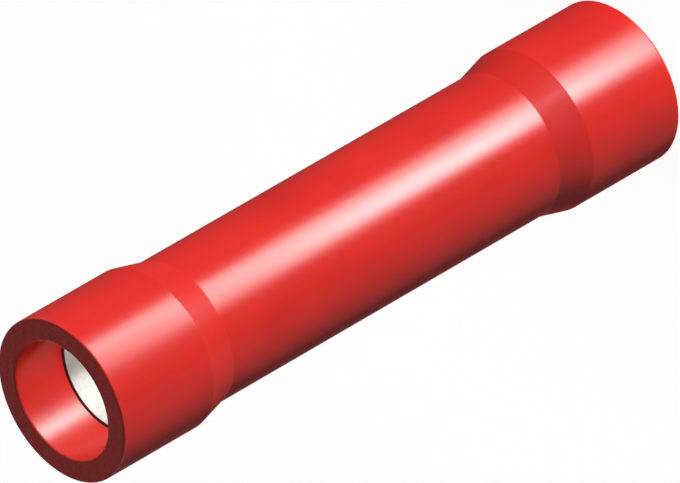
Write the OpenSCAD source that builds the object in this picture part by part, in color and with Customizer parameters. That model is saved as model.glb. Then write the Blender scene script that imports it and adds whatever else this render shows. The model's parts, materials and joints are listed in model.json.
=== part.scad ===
// Insulated butt splice connector for two wires, standing on one end.
// A red vinyl sleeve, necked in the middle and belled at both ends, holds a plated copper crimp barrel
// in its neck and a thin plated copper support sleeve in each bell.
// Millimetres, +Z up, origin at the centre of the lower end face.

/* [Wire barrel] */
// Bore that takes the bare wire
barrel_bore = 1.7; // [1.2:0.05:2.6]
// Wall of the barrel tube
barrel_wall = 0.8; // [0.6:0.05:1.2]
// Length of the barrel, which fills the neck of the sleeve from end to end
barrel_length = 14.7; // [10:0.1:24]
// Width of the 45 degree wire entry at each end of the bore
entry_chamfer = 0.3; // [0.1:0.05:0.4]
// Width of the broken outer edge at each end of the barrel
barrel_edge = 0.05; // [0.02:0.01:0.1]

/* [Wire stop] */
// Height of the stop ring that is rolled into the middle of the bore
stop_height = 0.35; // [0.2:0.05:0.45]
// Radius of the roll that forms the stop and its groove outside
stop_roll = 0.5; // [0.45:0.05:0.6]

/* [Serrations] */
// Ring grooves in each half of the bore
serration_count = 3; // [1:1:5]
// Width of a ring groove at the bore
serration_width = 0.3; // [0.15:0.05:0.45]
// Depth of a ring groove
serration_depth = 0.12; // [0.05:0.01:0.2]

/* [Insulating sleeve] */
// Wall of the sleeve at its neck
neck_wall = 0.89; // [0.6:0.01:1.4]
// Wall of the sleeve at its bells
bell_wall = 0.77; // [0.5:0.01:1.4]
// Length of the straight part of a bell
bell_length = 3.95; // [3.4:0.05:8]
// Length of the flare between neck and bell
flare_length = 1.2; // [0.8:0.05:3]
// Radial step by which the flare widens the bore
flare_rise = 0.42; // [0.3:0.01:1]
// Radius that softens each crease of the flares
crease_radius = 0.15; // [0.1:0.05:0.8]
// Radius of the moulded edges of the two end faces
rim_edge = 0.08; // [0.04:0.01:0.15]

/* [Support sleeves] */
// Wall of a support sleeve
support_wall = 0.15; // [0.1:0.01:0.25]
// Depth of a support sleeve's lip below the end face
support_depth = 2; // [1:0.1:3]

/* [Fits] */
// Radial gap between the metal pieces and the sleeve around them
fit_gap = 0.01; // [0.005:0.005:0.05]

/* [Hidden] */
$fn = 96;

// Straight pieces that stand for one rounded edge
arc_steps = 5;
vinyl_red = "#E4322A";
tin_grey = "#C9C7C1";
plated_bright = "#DAD8D2";

// Lengths along the axis, measured as depth below an end face
barrel_depth = bell_length + flare_length;
overall_length = barrel_length + 2 * barrel_depth;
middle = overall_length / 2;

// Radii
bore_r = barrel_bore / 2;
barrel_r = bore_r + barrel_wall;
neck_bore_r = barrel_r + fit_gap;
neck_r = neck_bore_r + neck_wall;
mouth_bore_r = neck_bore_r + flare_rise;
bell_r = mouth_bore_r + bell_wall;

// Slope of the flare's bore, which the support sleeves follow
flare_angle = atan(flare_rise / flare_length);

// Half the length of the stop at the bore, and the stretch of plain bore between an entry and the stop
stop_half = sqrt(pow(stop_roll, 2) - pow(stop_roll - stop_height, 2));
serrated_start = barrel_depth + entry_chamfer;
serrated_length = middle - stop_half - serrated_start;

function unit(p) = p / norm(p);
function turned(p, angle) = [p.x * cos(angle) - p.y * sin(angle), p.x * sin(angle) + p.y * cos(angle)];
function flipped(points) = [for (i = [len(points) - 1:-1:0]) points[i]];
function mirrored(points) = [for (p = flipped(points)) [p.x, overall_length - p.y]];

// Points of an arc of the given radius that touches both sides of a corner
function corner_arc(before, corner, after, radius) =
    let (to_before = unit(before - corner))
    let (to_after = unit(after - corner))
    let (opening = acos(to_before * to_after))
    let (start = corner + to_before * radius / tan(opening / 2))
    let (centre = corner + unit(to_before + to_after) * radius / sin(opening / 2))
    let (turn = -sign(cross(to_before, to_after)) * (180 - opening))
    [for (i = [0:arc_steps]) centre + turned(start - centre, turn * i / arc_steps)];

// An outline of [radius, height, rounding] corners, with an arc in place of each rounded corner
function rounded(corners) =
    let (last = len(corners) - 1)
    let (at = [for (c = corners) [c.x, c.y]])
    [for (i = [0:last], p = corners[i].z == 0
        ? [at[i]]
        : corner_arc(at[i == 0 ? last : i - 1], at[i], at[i == last ? 0 : i + 1], corners[i].z)) p];

// The bell's lining from lip to barrel, drawn inward from the sleeve's bore by the given distance
function lining(inward) = [
    [mouth_bore_r - inward, support_depth],
    [mouth_bore_r - inward, bell_length - inward * tan(flare_angle / 2)],
    [neck_bore_r - inward / cos(flare_angle), barrel_depth]
];

module insulating_sleeve() {
    rim = min(rim_edge, bell_wall / 3);
    outside = [[bell_r, 0, rim], [bell_r, bell_length, crease_radius], [neck_r, barrel_depth, crease_radius]];
    inside = [[mouth_bore_r, 0, rim], [mouth_bore_r, bell_length, 0], [neck_bore_r, barrel_depth, 0]];
    far = [for (c = flipped(outside)) [c.x, overall_length - c.y, c.z]];
    far_inside = [for (c = inside) [c.x, overall_length - c.y, c.z]];
    color(vinyl_red)
        rotate_extrude()
            polygon(rounded(concat(outside, far, far_inside, flipped(inside))));
}

// Section of one ring groove at a height in the bore
module serration(height) {
    half = serration_width / 2;
    translate([bore_r, height])
        polygon([[-serration_depth, -2 * half], [serration_depth, 0], [-serration_depth, 2 * half]]);
}

// Section of the roll that presses the stop into the barrel, set against a wall of the given radius
module stop_section(wall_r) {
    translate([wall_r - stop_height + stop_roll, middle])
        circle(stop_roll);
}

module wire_barrel() {
    lower_end = [
        [bore_r, barrel_depth + entry_chamfer],
        [bore_r + entry_chamfer, barrel_depth],
        [barrel_r - barrel_edge, barrel_depth],
        [barrel_r, barrel_depth + barrel_edge]
    ];
    color(tin_grey)
        rotate_extrude()
            difference() {
                union() {
                    polygon(concat(lower_end, mirrored(lower_end)));
                    intersection() {
                        stop_section(bore_r);
                        translate([0, middle - stop_roll])
                            square([bore_r + barrel_wall / 2, 2 * stop_roll]);
                    }
                }
                stop_section(barrel_r);
                for (i = [1:serration_count]) {
                    height = serrated_start + serrated_length * i / (serration_count + 1);
                    serration(height);
                    serration(overall_length - height);
                }
            }
}

// Section of the support sleeve at the lower end
function support_section() =
    let (lip = support_wall / 3)
    let (outer = lining(fit_gap))
    let (inner = lining(fit_gap + support_wall))
    rounded([
        [inner[0].x, inner[0].y, lip],
        [outer[0].x, outer[0].y, lip],
        [outer[1].x, outer[1].y, 0],
        [outer[2].x, outer[2].y, 0],
        [inner[2].x, inner[2].y, 0],
        [inner[1].x, inner[1].y, 0]
    ]);

module lower_support_sleeve() {
    color(plated_bright)
        rotate_extrude()
            polygon(support_section());
}

module upper_support_sleeve() {
    color(plated_bright)
        rotate_extrude()
            polygon(mirrored(support_section()));
}

insulating_sleeve();
wire_barrel();
upper_support_sleeve();
lower_support_sleeve();
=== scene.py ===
"""Insulated butt splice connector: red vinyl sleeve, plated crimp barrel and two plated support sleeves."""
import json
import math

import bmesh
import bpy
from bpy.props import FloatProperty, FloatVectorProperty, IntProperty, PointerProperty
from mathutils import Matrix, Vector


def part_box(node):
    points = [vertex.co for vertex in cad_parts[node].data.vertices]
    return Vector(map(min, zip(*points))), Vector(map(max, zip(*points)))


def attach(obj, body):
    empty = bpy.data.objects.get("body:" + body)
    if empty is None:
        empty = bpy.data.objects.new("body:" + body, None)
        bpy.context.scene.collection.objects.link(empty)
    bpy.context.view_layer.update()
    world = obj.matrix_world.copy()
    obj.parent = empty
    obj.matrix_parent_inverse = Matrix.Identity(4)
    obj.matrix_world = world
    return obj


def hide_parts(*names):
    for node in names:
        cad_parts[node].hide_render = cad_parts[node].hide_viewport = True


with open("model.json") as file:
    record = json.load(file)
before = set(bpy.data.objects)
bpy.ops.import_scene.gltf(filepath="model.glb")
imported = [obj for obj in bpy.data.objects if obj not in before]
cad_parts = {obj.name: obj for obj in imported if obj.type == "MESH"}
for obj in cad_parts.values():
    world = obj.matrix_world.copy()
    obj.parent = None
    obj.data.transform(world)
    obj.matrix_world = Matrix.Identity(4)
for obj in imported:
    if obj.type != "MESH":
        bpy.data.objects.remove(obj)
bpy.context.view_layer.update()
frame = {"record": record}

bl_info = {
    "name": "Butt Splice Connector",
    "version": (1, 0, 0),
    "blender": (4, 5, 0),
    "location": "View3D > Sidebar > Splice",
    "description": "Builds the finished look of an insulated butt splice connector",
    "category": "Object",
}

MM = 0.001

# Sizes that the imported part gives
sleeve_low, sleeve_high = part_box("insulating_sleeve")
barrel_low, barrel_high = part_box("wire_barrel")
lining_low, lining_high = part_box("lower_support_sleeve")
mount_radius = {m["name"]: m["dims"].get("r_mm", 0) * MM for m in frame["record"]["mounts"]}

BELL_RADIUS = sleeve_high.x
OVERALL_LENGTH = sleeve_high.z
BARREL_RADIUS = barrel_high.x
BARREL_DEPTH = barrel_low.z
LIP_DEPTH = lining_low.z
LINING_RADIUS = lining_high.x
WIRE_BORE_RADIUS = mount_radius["lower_wire_entry"]
GRIP_BORE_RADIUS = mount_radius["lower_insulation_grip"]
MIDDLE = OVERALL_LENGTH / 2

# The picture's frame, and the scale at which the connector fills it
FRAME_WIDTH_PX = 680
PX_PER_MM = 31.4

# A face whose normal has this much of Z belongs to a cut end
END_FACING = 0.4

# Faces that meet at more than this keep a sharp edge
SHARP_ANGLE = math.radians(15)

# Distance from an arc to the point that keeps the arc's smooth shading off the straight wall beside it
GUARD = 0.01 * MM


def linear(hex_colour):
    """Linear RGB of an sRGB hex colour such as E4322A."""
    shares = [int(hex_colour[i:i + 2], 16) / 255 for i in (0, 2, 4)]
    return tuple(s / 12.92 if s <= 0.04045 else ((s + 0.055) / 1.055) ** 2.4 for s in shares)


def size_prop(name, description, millimetres):
    """A length in the sidebar, given in millimetres."""
    return FloatProperty(
        name=name, description=description, default=millimetres * MM, min=0.0, unit="LENGTH", precision=5
    )


def colour_prop(name, description, hex_colour):
    """A colour in the sidebar, given as sRGB hex."""
    return FloatVectorProperty(
        name=name, description=description, subtype="COLOR", size=3, min=0, max=1, default=linear(hex_colour)
    )


class SpliceSizes(bpy.types.PropertyGroup):
    """Sizes of the connector that its bounding boxes and mounts don't give."""

    neck_radius: size_prop("Neck radius", "Outer radius of the sleeve's neck", 2.55)
    bell_length: size_prop("Bell length", "Straight part of a bell", 3.95)
    crease_radius: size_prop("Crease radius", "Rounding of the flares' creases", 0.15)
    rim_edge: size_prop("Rim edge", "Rounding of the end faces' edges", 0.08)
    fit_gap: size_prop("Fit gap", "Gap between the metal pieces and the sleeve", 0.01)
    entry_chamfer: size_prop("Entry chamfer", "Width of the barrel's wire entries", 0.3)
    barrel_edge: size_prop("Barrel edge", "Broken outer edge of the barrel's ends", 0.05)
    stop_height: size_prop("Stop height", "Height of the rolled wire stop", 0.35)
    stop_roll: size_prop("Stop roll", "Radius of the roll that forms the stop", 0.5)
    serration_width: size_prop("Serration width", "Width of a ring groove", 0.3)
    serration_depth: size_prop("Serration depth", "Depth of a ring groove", 0.12)
    serration_count: IntProperty(
        name="Serrations", description="Ring grooves in each half of the bore", default=3, min=1
    )
    segments: IntProperty(name="Segments", description="Steps of each revolved piece", default=192, min=24)
    arc_steps: IntProperty(name="Arc steps", description="Steps of each rounded edge", default=8, min=1)


class SpliceColours(bpy.types.PropertyGroup):
    """Colours of the connector and its stage."""

    vinyl: colour_prop("Vinyl", "Red of the sleeve", "E42E26")
    vinyl_deep: colour_prop("Deep vinyl", "Deeper red where the pigment lies thicker", "D62822")
    # Painted shade: the bore's two reds are set a shade deeper than the skin's, to take back the light its
    # walls throw on each other
    bore: colour_prop("Bore", "Red of the bore, deeper because its walls light each other", "D63128")
    bore_deep: colour_prop("Deep bore", "Deeper red of the bore's pigment clouds", "CA2B23")
    # Painted shade: the sawn ends' red is darkened as if their scores shaded them
    painted_shade_cut_vinyl: colour_prop("Cut vinyl", "Darker red in the scores of the sawn ends", "8C2420")
    tin: colour_prop("Tin", "Bright tin plating of the support sleeves", "E8E7E4")
    tin_dull: colour_prop("Dull tin", "Tin where its grains turn away", "CBC9C5")
    barrel: colour_prop("Barrel", "Satin tin plating of the barrel", "CFCCC4")
    # The cut ends are drawn dark brown copper; the dark also paints the shade of the gap between the lip and
    # the sleeve
    copper: colour_prop("Copper edge", "Bare copper where a support sleeve was cut", "5E4238")
    copper_dark: colour_prop("Dark copper", "Copper where it has browned", "3A2A26")
    floor: colour_prop("Floor", "Pale floor", "F4F4F2")


def arc_corner(before, corner, after, radius, steps):
    """Points of an arc that touches both sides of a corner, with one more point just off each end."""
    to_before = (before - corner).normalized()
    to_after = (after - corner).normalized()
    opening = to_before.angle(to_after)
    start = corner + to_before * radius / math.tan(opening / 2)
    centre = corner + (to_before + to_after).normalized() * radius / math.sin(opening / 2)
    turn = math.copysign(math.pi - opening, -to_before.cross(to_after))
    arc = [centre + Matrix.Rotation(turn * i / steps, 2) @ (start - centre) for i in range(steps + 1)]
    return [arc[0] + to_before * GUARD, *arc, arc[-1] + to_after * GUARD]


def rounded_outline(corners, steps):
    """An outline of (radius, height, rounding) corners with an arc for each rounded corner."""
    at = [Vector(c[:2]) for c in corners]
    points = []
    for i, corner in enumerate(corners):
        if corner[2] > 0:
            points += arc_corner(at[i - 1], at[i], at[(i + 1) % len(at)], corner[2], steps)
        else:
            points.append(at[i])
    return points


def turned_over(points):
    """The same section at the other end of the connector, in an order that continues the first."""
    return [(p[0], OVERALL_LENGTH - p[1], *p[2:]) for p in reversed(points)]


def revolve(name, outline, node, skin, bore=None, ends=None):
    """Spins a closed (radius, height) outline about Z into a piece that stands for a CAD node."""
    segments = bpy.context.scene.splice_sizes.segments
    shape = bmesh.new()
    ring = [shape.verts.new((p[0], 0.0, p[1])) for p in outline]
    edges = [shape.edges.new((ring[i - 1], ring[i])) for i in range(len(ring))]
    bmesh.ops.spin(
        shape, geom=ring + edges, cent=(0, 0, 0), axis=(0, 0, 1), angle=math.tau, steps=segments,
        use_merge=True,
    )
    bmesh.ops.recalc_face_normals(shape, faces=shape.faces)
    mesh = bpy.data.meshes.new(name)
    shape.to_mesh(mesh)
    shape.free()
    mesh.shade_smooth()
    mesh.set_sharp_from_angle(angle=SHARP_ANGLE)
    finishes = [skin]
    for face in mesh.polygons:
        finish = skin
        if abs(face.normal.z) > END_FACING:
            finish = ends or skin
        elif face.normal.xy.dot(face.center.xy) < 0:
            finish = bore or skin
        if finish not in finishes:
            finishes.append(finish)
        face.material_index = finishes.index(finish)
    for finish in finishes:
        mesh.materials.append(finish)
    piece = bpy.data.objects.new(name, mesh)
    bpy.context.scene.collection.objects.link(piece)
    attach(piece, "root")
    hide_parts(node)
    return piece


def add_node(tree, kind, inputs=None, **settings):
    """Adds a node with its settings, and sets or links its inputs."""
    made = tree.nodes.new(kind)
    for name, value in settings.items():
        setattr(made, name, value)
    for socket, value in (inputs or {}).items():
        if isinstance(value, bpy.types.NodeSocket):
            tree.links.new(value, made.inputs[socket])
        else:
            made.inputs[socket].default_value = value
    return made


def new_tree(name):
    """An empty node material and its tree."""
    material = bpy.data.materials.new(name)
    material.use_nodes = True
    material.node_tree.nodes.clear()
    return material, material.node_tree


def per_mm(millimetres):
    """Pattern scale, in repeats per metre, of a feature of the given size."""
    return 1 / (millimetres * MM)


def extruded_vinyl(name, clear, deep, smooth, rough, gloss, lines):
    """Plasticised PVC, drawn as a tube and belled hot: an even glossy red with faint lines along the draw."""
    material, tree = new_tree(name)
    place = add_node(tree, "ShaderNodeTexCoord").outputs["Object"]
    # Draw lines from the die run along the tube, about a quarter of a millimetre apart
    along = add_node(
        tree, "ShaderNodeMapping", {"Vector": place, "Scale": (per_mm(0.25), per_mm(0.25), per_mm(9))}
    )
    drawn = add_node(
        tree, "ShaderNodeTexNoise", {"Vector": along.outputs["Vector"], "Scale": 1.0, "Detail": 2.0}
    ).outputs["Fac"]
    # Pigment clouds a few millimetres across
    clouds = add_node(
        tree, "ShaderNodeTexNoise", {"Vector": place, "Scale": per_mm(2.6), "Detail": 3.0}
    ).outputs["Fac"]
    # Orange peel of the cooled skin, drawn coarser than life so that it shows
    peel = add_node(
        tree, "ShaderNodeTexNoise", {"Vector": place, "Scale": per_mm(0.16), "Detail": 1.0}
    ).outputs["Fac"]
    shade = add_node(
        tree, "ShaderNodeMapRange", {"Value": clouds, "From Min": 0.35, "From Max": 0.75}
    ).outputs["Result"]
    colour = add_node(
        tree, "ShaderNodeMix", {"Factor": shade, "A": (*clear, 1), "B": (*deep, 1)}, data_type="RGBA"
    )
    roughness = add_node(
        tree, "ShaderNodeMapRange",
        {"Value": drawn, "From Min": 0.3, "From Max": 0.7, "To Min": smooth, "To Max": rough},
    ).outputs["Result"]
    height = add_node(tree, "ShaderNodeMath", {0: drawn, 1: peel}, operation="ADD").outputs["Value"]
    relief = add_node(
        tree, "ShaderNodeBump", {"Height": height, "Strength": lines, "Distance": 0.004 * MM}
    ).outputs["Normal"]
    shader = add_node(
        tree, "ShaderNodeBsdfPrincipled",
        {"Base Color": colour.outputs[2], "Roughness": roughness, "IOR": 1.53, "Normal": relief,
         "Diffuse Roughness": 0.2, "Specular IOR Level": gloss},
    )
    add_node(tree, "ShaderNodeOutputMaterial", {"Surface": shader.outputs["BSDF"]})
    return material


def sawn_vinyl(colours):
    """The same PVC where the tube was cut to length: matt, scored by the blade, with hardly any gloss, and
    with its red painted darker as shade.
    """
    material, tree = new_tree("sawn_red_vinyl_painted_shade")
    place = add_node(tree, "ShaderNodeTexCoord").outputs["Object"]
    # Scores of the blade, drawn coarser than life so that they show
    scores = add_node(
        tree, "ShaderNodeTexWave",
        {"Vector": place, "Scale": per_mm(0.9), "Distortion": 4.0, "Detail": 3.0, "Detail Scale": 1.5},
        wave_type="BANDS", bands_direction="DIAGONAL",
    ).outputs["Fac"]
    grit = add_node(
        tree, "ShaderNodeTexNoise", {"Vector": place, "Scale": per_mm(0.09), "Detail": 2.0}
    ).outputs["Fac"]
    # Painted shade: the sawn ends mix the deep red with a darker red, so that they look shaded
    colour = add_node(
        tree, "ShaderNodeMix", {"Factor": grit, "A": (*colours.vinyl_deep, 1), "B": (*colours.painted_shade_cut_vinyl, 1)},
        data_type="RGBA",
    )
    roughness = add_node(
        tree, "ShaderNodeMapRange", {"Value": grit, "To Min": 0.62, "To Max": 0.8}
    ).outputs["Result"]
    height = add_node(tree, "ShaderNodeMath", {0: scores, 1: grit}, operation="ADD").outputs["Value"]
    relief = add_node(
        tree, "ShaderNodeBump", {"Height": height, "Strength": 0.5, "Distance": 0.01 * MM}
    ).outputs["Normal"]
    shader = add_node(
        tree, "ShaderNodeBsdfPrincipled",
        {"Base Color": colour.outputs[2], "Roughness": roughness, "IOR": 1.53, "Specular IOR Level": 0.44,
         "Normal": relief},
    )
    add_node(tree, "ShaderNodeOutputMaterial", {"Surface": shader.outputs["BSDF"]})
    return material


def formed_copper(name, bright, dull, smooth, rough):
    """Copper, tinned or bare at a cut: a satin metal with fine grain and rings left by forming."""
    material, tree = new_tree(name)
    place = add_node(tree, "ShaderNodeTexCoord").outputs["Object"]
    # Grain of the metal, drawn coarser than life so that it shows
    grain = add_node(
        tree, "ShaderNodeTexNoise", {"Vector": place, "Scale": per_mm(0.13), "Detail": 3.0}
    ).outputs["Fac"]
    # Forming rings round the wall
    around = add_node(
        tree, "ShaderNodeMapping", {"Vector": place, "Scale": (per_mm(6), per_mm(6), per_mm(0.12))}
    )
    rings = add_node(
        tree, "ShaderNodeTexNoise", {"Vector": around.outputs["Vector"], "Scale": 1.0, "Detail": 2.0}
    ).outputs["Fac"]
    colour = add_node(
        tree, "ShaderNodeMix", {"Factor": grain, "A": (*bright, 1), "B": (*dull, 1)}, data_type="RGBA"
    )
    roughness = add_node(
        tree, "ShaderNodeMapRange", {"Value": rings, "From Min": 0.3, "From Max": 0.7, "To Min": smooth,
                                     "To Max": rough}
    ).outputs["Result"]
    relief = add_node(
        tree, "ShaderNodeBump", {"Height": rings, "Strength": 0.4, "Distance": 0.003 * MM}
    ).outputs["Normal"]
    shader = add_node(
        tree, "ShaderNodeBsdfPrincipled",
        {"Base Color": colour.outputs[2], "Metallic": 1.0, "Roughness": roughness, "Normal": relief},
    )
    add_node(tree, "ShaderNodeOutputMaterial", {"Surface": shader.outputs["BSDF"]})
    return material


class SPLICE_OT_sleeve(bpy.types.Operator):
    """Spin the necked and belled vinyl sleeve"""

    bl_idname = "splice.sleeve"
    bl_label = "Insulating Sleeve"

    def execute(self, context):
        sizes = context.scene.splice_sizes
        mouth = LINING_RADIUS + sizes.fit_gap
        neck_bore = BARREL_RADIUS + sizes.fit_gap
        outside = [
            (BELL_RADIUS, 0.0, sizes.rim_edge),
            (BELL_RADIUS, sizes.bell_length, sizes.crease_radius),
            (sizes.neck_radius, BARREL_DEPTH, sizes.crease_radius),
        ]
        inside = [
            (neck_bore, BARREL_DEPTH, 0.0),
            (mouth, sizes.bell_length, 0.0),
            (mouth, 0.0, sizes.rim_edge),
        ]
        corners = outside + turned_over(outside) + turned_over(inside) + inside
        colours = context.scene.splice_colours
        revolve(
            "vinyl_sleeve", rounded_outline(corners, sizes.arc_steps), "insulating_sleeve",
            skin=extruded_vinyl(
                "extruded_red_vinyl", colours.vinyl, colours.vinyl_deep, smooth=0.28, rough=0.32,
                gloss=0.5, lines=0.3,
            ),
            # The bore's reds are painted a shade deeper than the skin's, as shade
            bore=extruded_vinyl(
                "mandrel_smooth_vinyl_painted_shade", colours.bore, colours.bore_deep, smooth=0.28, rough=0.3,
                gloss=0.12, lines=0.05,
            ),
            ends=sawn_vinyl(colours),
        )
        return {"FINISHED"}


class SPLICE_OT_barrel(bpy.types.Operator):
    """Spin the crimp barrel with its wire entries, serrations and rolled stop"""

    bl_idname = "splice.barrel"
    bl_label = "Wire Barrel"

    def execute(self, context):
        sizes = context.scene.splice_sizes
        half_stop = math.sqrt(sizes.stop_roll ** 2 - (sizes.stop_roll - sizes.stop_height) ** 2)
        first = BARREL_DEPTH + sizes.entry_chamfer
        pitch = (MIDDLE - half_stop - first) / (sizes.serration_count + 1)

        def rolled(radius):
            """Half of the roll's arc, from a wall of the given radius to mid-length."""
            arc = []
            for i in range(sizes.arc_steps + 1):
                off = half_stop * (1 - i / sizes.arc_steps)
                rise = math.sqrt(sizes.stop_roll ** 2 - off ** 2)
                arc.append((radius - sizes.stop_height + sizes.stop_roll - rise, MIDDLE - off))
            return arc

        bore = [(WIRE_BORE_RADIUS, first)]
        for i in range(1, sizes.serration_count + 1):
            for side, depth in ((-0.5, 0.0), (0.0, sizes.serration_depth), (0.5, 0.0)):
                bore.append((WIRE_BORE_RADIUS + depth, first + i * pitch + side * sizes.serration_width))
        bore += rolled(WIRE_BORE_RADIUS)
        outer = [
            (WIRE_BORE_RADIUS + sizes.entry_chamfer, BARREL_DEPTH),
            (BARREL_RADIUS - sizes.barrel_edge, BARREL_DEPTH),
            (BARREL_RADIUS, BARREL_DEPTH + sizes.barrel_edge),
        ] + rolled(BARREL_RADIUS)
        outline = outer + turned_over(outer)[1:] + turned_over(bore)[:-1] + list(reversed(bore))
        colours = context.scene.splice_colours
        revolve(
            "crimp_barrel", outline, "wire_barrel",
            formed_copper("satin_tinned_copper", colours.barrel, colours.tin_dull, smooth=0.4, rough=0.5),
        )
        return {"FINISHED"}


class SPLICE_OT_linings(bpy.types.Operator):
    """Spin the thin support sleeve in each bell"""

    bl_idname = "splice.linings"
    bl_label = "Support Sleeves"

    def execute(self, context):
        sizes = context.scene.splice_sizes
        colours = context.scene.splice_colours
        wall = LINING_RADIUS - GRIP_BORE_RADIUS
        mouth = LINING_RADIUS + sizes.fit_gap
        rise = mouth - BARREL_RADIUS - sizes.fit_gap
        slope = math.atan2(rise, BARREL_DEPTH - sizes.bell_length)

        def wall_line(inward, lip):
            """Lip, crease and foot of the lining at a distance in from the sleeve's bore."""
            return [
                (mouth - inward, LIP_DEPTH, lip),
                (mouth - inward, sizes.bell_length - inward * math.tan(slope / 2), 0.0),
                (mouth - rise - inward / math.cos(slope), BARREL_DEPTH, 0.0),
            ]

        outer = wall_line(sizes.fit_gap, wall / 3)
        inner = wall_line(sizes.fit_gap + wall, wall / 3)
        section = rounded_outline(outer + list(reversed(inner)), sizes.arc_steps)
        tin = formed_copper("bright_tinned_copper", colours.tin, colours.tin_dull, smooth=0.38, rough=0.46)
        # Dark brown copper on the cut ends, partly painted shade of the gap at the lip
        edge = formed_copper(
            "browned_copper_edge_and_painted_shade", colours.copper, colours.copper_dark, smooth=0.45, rough=0.6
        )
        for end, outline in (("lower", section), ("upper", turned_over(section))):
            revolve(f"{end}_lining", outline, f"{end}_support_sleeve", tin, ends=edge)
        return {"FINISHED"}


# The picture's view in the connector's frame: towards the camera, and the picture's right and up
CAMERA_ELEVATION = math.radians(35.264)
TOWARDS_CAMERA = Vector((0, -math.cos(CAMERA_ELEVATION), math.sin(CAMERA_ELEVATION)))
LEVEL_UP = Vector((0, -TOWARDS_CAMERA.z * TOWARDS_CAMERA.y, 1 - TOWARDS_CAMERA.z ** 2)).normalized()
ROLL = math.radians(-120)
PICTURE_RIGHT = Vector((1, 0, 0)) * math.cos(ROLL) + LEVEL_UP * math.sin(ROLL)
PICTURE_UP = LEVEL_UP * math.cos(ROLL) - Vector((1, 0, 0)) * math.sin(ROLL)
LENS_MM = 1150.0
SENSOR_MM = 36.0
# The connector's middle lies this many pixels right of and above the frame's middle
MIDDLE_OFF_PX = (1.4, 2.1)

# The floor lies just under the connector, and the grey card between the two
FLOOR_HALF = 1000 * MM
FLOOR_DROP = 0.02 * MM
CARD_DROP = 0.01 * MM
CARD_RADIUS = 60 * MM
# Light that the floor adds of its own, so that with the lamps it looks white
FLOOR_GLOW = 0.87

# Lamps that only make the sleeve's highlights: both ends and the width in millimetres, the power in watts,
# and whether they cast a shadow
SLEEVE_LAMPS = (
    # Tube under the floor whose highlight runs along the bells and the neck
    ("tube_lamp", (3.6, -44.7, -22.5), (123.6, -128.6, -89.5), 3, 0.196, False),
    # Weak lamp for the lower flare, which mirrors a higher place
    ("flare_lamp", (37.4, -94.4, -20.6), (37.4, -94.4, -0.6), 3, 0.0035, False),
    # Wide weak box that veils the dark side
    ("soft_box", (-87, 45, -30), (-77, -60, -30), 120, 0.0053, True),
    # Upright lamp for the back
    ("rear_lamp", (-7.8, 89.7, -20), (-7.8, 89.7, 5), 10, 0.03, False),
    # Small lamp inside the upper mouth, for the highlight on its wall
    ("mouth_lamp", (1.07, -0.73, 20), (1.07, -0.73, 23.5), 1, 0.00064, False),
)


def shown_to_eye(tree):
    """1 where a surface is seen directly, in a reflection or through glass, and 0 where it lights others."""
    path = add_node(tree, "ShaderNodeLightPath").outputs
    mirrored = add_node(
        tree, "ShaderNodeMath", {0: path["Is Glossy Ray"], 1: path["Is Transmission Ray"]},
        operation="MAXIMUM",
    ).outputs["Value"]
    return add_node(
        tree, "ShaderNodeMath", {0: path["Is Camera Ray"], 1: mirrored}, operation="MAXIMUM"
    ).outputs["Value"]


def grey_card(name):
    """A matt grey disc under the connector that only reflections show, which keeps its edges dark."""
    material, tree = new_tree("matt_grey_card")
    place = add_node(tree, "ShaderNodeTexCoord").outputs["Object"]
    fibres = add_node(
        tree, "ShaderNodeTexNoise", {"Vector": place, "Scale": per_mm(0.4), "Detail": 4.0}
    ).outputs["Fac"]
    tone = add_node(
        tree, "ShaderNodeMapRange", {"Value": fibres, "To Min": 0.5, "To Max": 0.7}
    ).outputs["Result"]
    card = add_node(tree, "ShaderNodeBsdfDiffuse", {"Color": tone})
    add_node(tree, "ShaderNodeOutputMaterial", {"Surface": card.outputs["BSDF"]})
    shape = bmesh.new()
    bmesh.ops.create_circle(
        shape, cap_ends=True, segments=96, radius=CARD_RADIUS, matrix=Matrix.Translation((0, 0, -CARD_DROP))
    )
    mesh = bpy.data.meshes.new(name)
    shape.to_mesh(mesh)
    shape.free()
    mesh.materials.append(material)
    disc = bpy.data.objects.new(name, mesh)
    disc.visible_camera = False
    disc.visible_diffuse = False
    disc.visible_shadow = False
    bpy.context.scene.collection.objects.link(disc)


def pale_floor(colour):
    """Matt white paper: white to the eye and in reflections, and still shaded by the connector."""
    material, tree = new_tree("matt_white_paper")
    place = add_node(tree, "ShaderNodeTexCoord").outputs["Object"]
    fibres = add_node(
        tree, "ShaderNodeTexNoise", {"Vector": place, "Scale": per_mm(0.4), "Detail": 4.0}
    ).outputs["Fac"]
    tone = add_node(
        tree, "ShaderNodeMix", {"Factor": fibres, "A": (*colour, 1), "B": (1, 1, 1, 1)}, data_type="RGBA"
    )
    level = add_node(
        tree, "ShaderNodeMath", {0: shown_to_eye(tree), 1: FLOOR_GLOW}, operation="MULTIPLY"
    ).outputs["Value"]
    paper = add_node(tree, "ShaderNodeBsdfDiffuse", {"Color": tone.outputs[2]})
    glow = add_node(tree, "ShaderNodeEmission", {"Color": (1, 1, 1, 1), "Strength": level})
    both = add_node(tree, "ShaderNodeAddShader", {0: paper.outputs["BSDF"], 1: glow.outputs["Emission"]})
    add_node(tree, "ShaderNodeOutputMaterial", {"Surface": both.outputs["Shader"]})
    return material


def white_world(ambient):
    """White to the eye and in reflections, a weak even light on everything else."""
    world = bpy.data.worlds.new("studio")
    world.use_nodes = True
    tree = world.node_tree
    tree.nodes.clear()
    strength = add_node(
        tree, "ShaderNodeMapRange", {"Value": shown_to_eye(tree), "To Min": ambient, "To Max": 1.0}
    ).outputs["Result"]
    sky = add_node(tree, "ShaderNodeBackground", {"Color": (1, 1, 1, 1), "Strength": strength})
    add_node(tree, "ShaderNodeOutputWorld", {"Surface": sky.outputs["Background"]})
    bpy.context.scene.world = world


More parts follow.
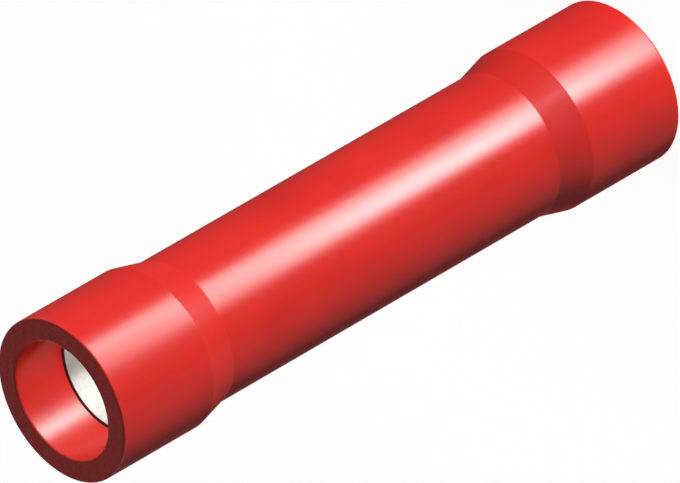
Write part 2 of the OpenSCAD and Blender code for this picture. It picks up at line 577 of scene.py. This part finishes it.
def round_the_axis(azimuth, elevation):
    """Direction at an azimuth from the camera's side towards +X and an elevation, in degrees."""
    a, e = math.radians(azimuth), math.radians(elevation)
    return Vector((math.sin(a) * math.cos(e), -math.cos(a) * math.cos(e), math.sin(e)))


def sun(name, azimuth, elevation, energy, angle, shadow=False):
    """A sun from a direction round the connector's axis, through the pieces unless it casts a shadow."""
    light = bpy.data.lights.new(name, "SUN")
    light.energy = energy
    light.angle = math.radians(angle)
    light.use_shadow = shadow
    light.cycles.use_multiple_importance_sampling = False
    lamp = bpy.data.objects.new(name, light)
    lamp.rotation_mode = "QUATERNION"
    lamp.rotation_quaternion = round_the_axis(azimuth, elevation).to_track_quat("Z", "Y")
    bpy.context.scene.collection.objects.link(lamp)
    return lamp


def strip(name, start, end, width, energy, shadow):
    """A lamp between two places in millimetres, turned to the connector, that gives only a highlight."""
    start, end = Vector(start) * MM, Vector(end) * MM
    light = bpy.data.lights.new(name, "AREA")
    light.shape = "RECTANGLE"
    light.size, light.size_y = (end - start).length, width * MM
    light.energy = energy
    light.use_shadow = shadow
    light.cycles.use_multiple_importance_sampling = False
    lamp = bpy.data.objects.new(name, light)
    middle = (start + end) / 2
    along = (end - start).normalized()
    back = middle - Vector((0, 0, MIDDLE))
    back = (back - along * back.dot(along)).normalized()
    turn = Matrix((along, back.cross(along), back)).transposed()
    lamp.matrix_world = Matrix.Translation(middle) @ turn.to_4x4()
    lamp.visible_diffuse = False
    lamp.visible_camera = False
    bpy.context.scene.collection.objects.link(lamp)
    return lamp


def light_only(lamp, *names):
    """Lets a lamp shine on the named pieces alone."""
    lit = bpy.data.collections.new(f"{lamp.name}_pieces")
    for name in names:
        lit.objects.link(bpy.data.objects[name])
    lamp.light_linking.receiver_collection = lit


class SPLICE_OT_stage(bpy.types.Operator):
    """Lay the pale floor and set the lamps and the camera"""

    bl_idname = "splice.stage"
    bl_label = "Stage"

    def execute(self, context):
        scene = context.scene
        scene.view_settings.view_transform = "Standard"
        centre = Vector((0, 0, MIDDLE))

        mesh = bpy.data.meshes.new("floor")
        corners = [(FLOOR_HALF * x, FLOOR_HALF * y, 0) for x, y in ((-1, -1), (1, -1), (1, 1), (-1, 1))]
        mesh.from_pydata(corners, [], [(0, 1, 2, 3)])
        mesh.materials.append(pale_floor(scene.splice_colours.floor))
        floor = bpy.data.objects.new("floor", mesh)
        floor.location.z = -FLOOR_DROP
        floor.visible_shadow = False
        scene.collection.objects.link(floor)
        grey_card("grey_card")
        white_world(ambient=0.12)

        # The key light comes from below, as the picture's does, and the back light reaches the other side.
        # Neither makes a highlight
        key = sun("key", azimuth=22, elevation=-26, energy=3.9, angle=6)
        back = sun("back", azimuth=192, elevation=-20, energy=3.0, angle=20, shadow=True)
        key.visible_glossy = False
        back.visible_glossy = False
        for lamp in SLEEVE_LAMPS:
            light_only(strip(*lamp), "vinyl_sleeve")
        metal_light = sun("metal_light", azimuth=25, elevation=-35, energy=2.1, angle=88)
        light_only(metal_light, "crimp_barrel", "lower_lining", "upper_lining")

        camera = bpy.data.cameras.new("camera")
        camera.lens = LENS_MM
        camera.sensor_width = SENSOR_MM
        view = bpy.data.objects.new("camera", camera)
        px = MM / PX_PER_MM
        distance = FRAME_WIDTH_PX * px * LENS_MM / SENSOR_MM
        target = centre - (PICTURE_RIGHT * MIDDLE_OFF_PX[0] + PICTURE_UP * MIDDLE_OFF_PX[1]) * px
        place = target + TOWARDS_CAMERA * distance
        turn = Matrix((PICTURE_RIGHT, PICTURE_UP, TOWARDS_CAMERA)).transposed()
        view.matrix_world = Matrix.Translation(place) @ turn.to_4x4()
        camera.clip_start, camera.clip_end = 0.01, 10.0
        scene.collection.objects.link(view)
        scene.camera = view
        return {"FINISHED"}


class SPLICE_PT_sidebar(bpy.types.Panel):
    """Sizes, colours and build steps of the connector"""

    bl_label = "Butt Splice Connector"
    bl_space_type = "VIEW_3D"
    bl_region_type = "UI"
    bl_category = "Splice"

    def draw(self, context):
        for group in (context.scene.splice_sizes, context.scene.splice_colours):
            box = self.layout.box()
            for name in group.__annotations__:
                box.prop(group, name)
        for step in STEPS:
            self.layout.operator(step.bl_idname)


STEPS = (SPLICE_OT_sleeve, SPLICE_OT_barrel, SPLICE_OT_linings, SPLICE_OT_stage)
CLASSES = (SpliceSizes, SpliceColours, *STEPS, SPLICE_PT_sidebar)


def register():
    for each in CLASSES:
        bpy.utils.register_class(each)
    bpy.types.Scene.splice_sizes = PointerProperty(type=SpliceSizes)
    bpy.types.Scene.splice_colours = PointerProperty(type=SpliceColours)


def unregister():
    del bpy.types.Scene.splice_colours
    del bpy.types.Scene.splice_sizes
    for each in reversed(CLASSES):
        bpy.utils.unregister_class(each)


def main():
    register()
    bpy.ops.splice.sleeve()
    bpy.ops.splice.barrel()
    bpy.ops.splice.linings()
    bpy.ops.splice.stage()


if __name__ == "__main__":
    main()
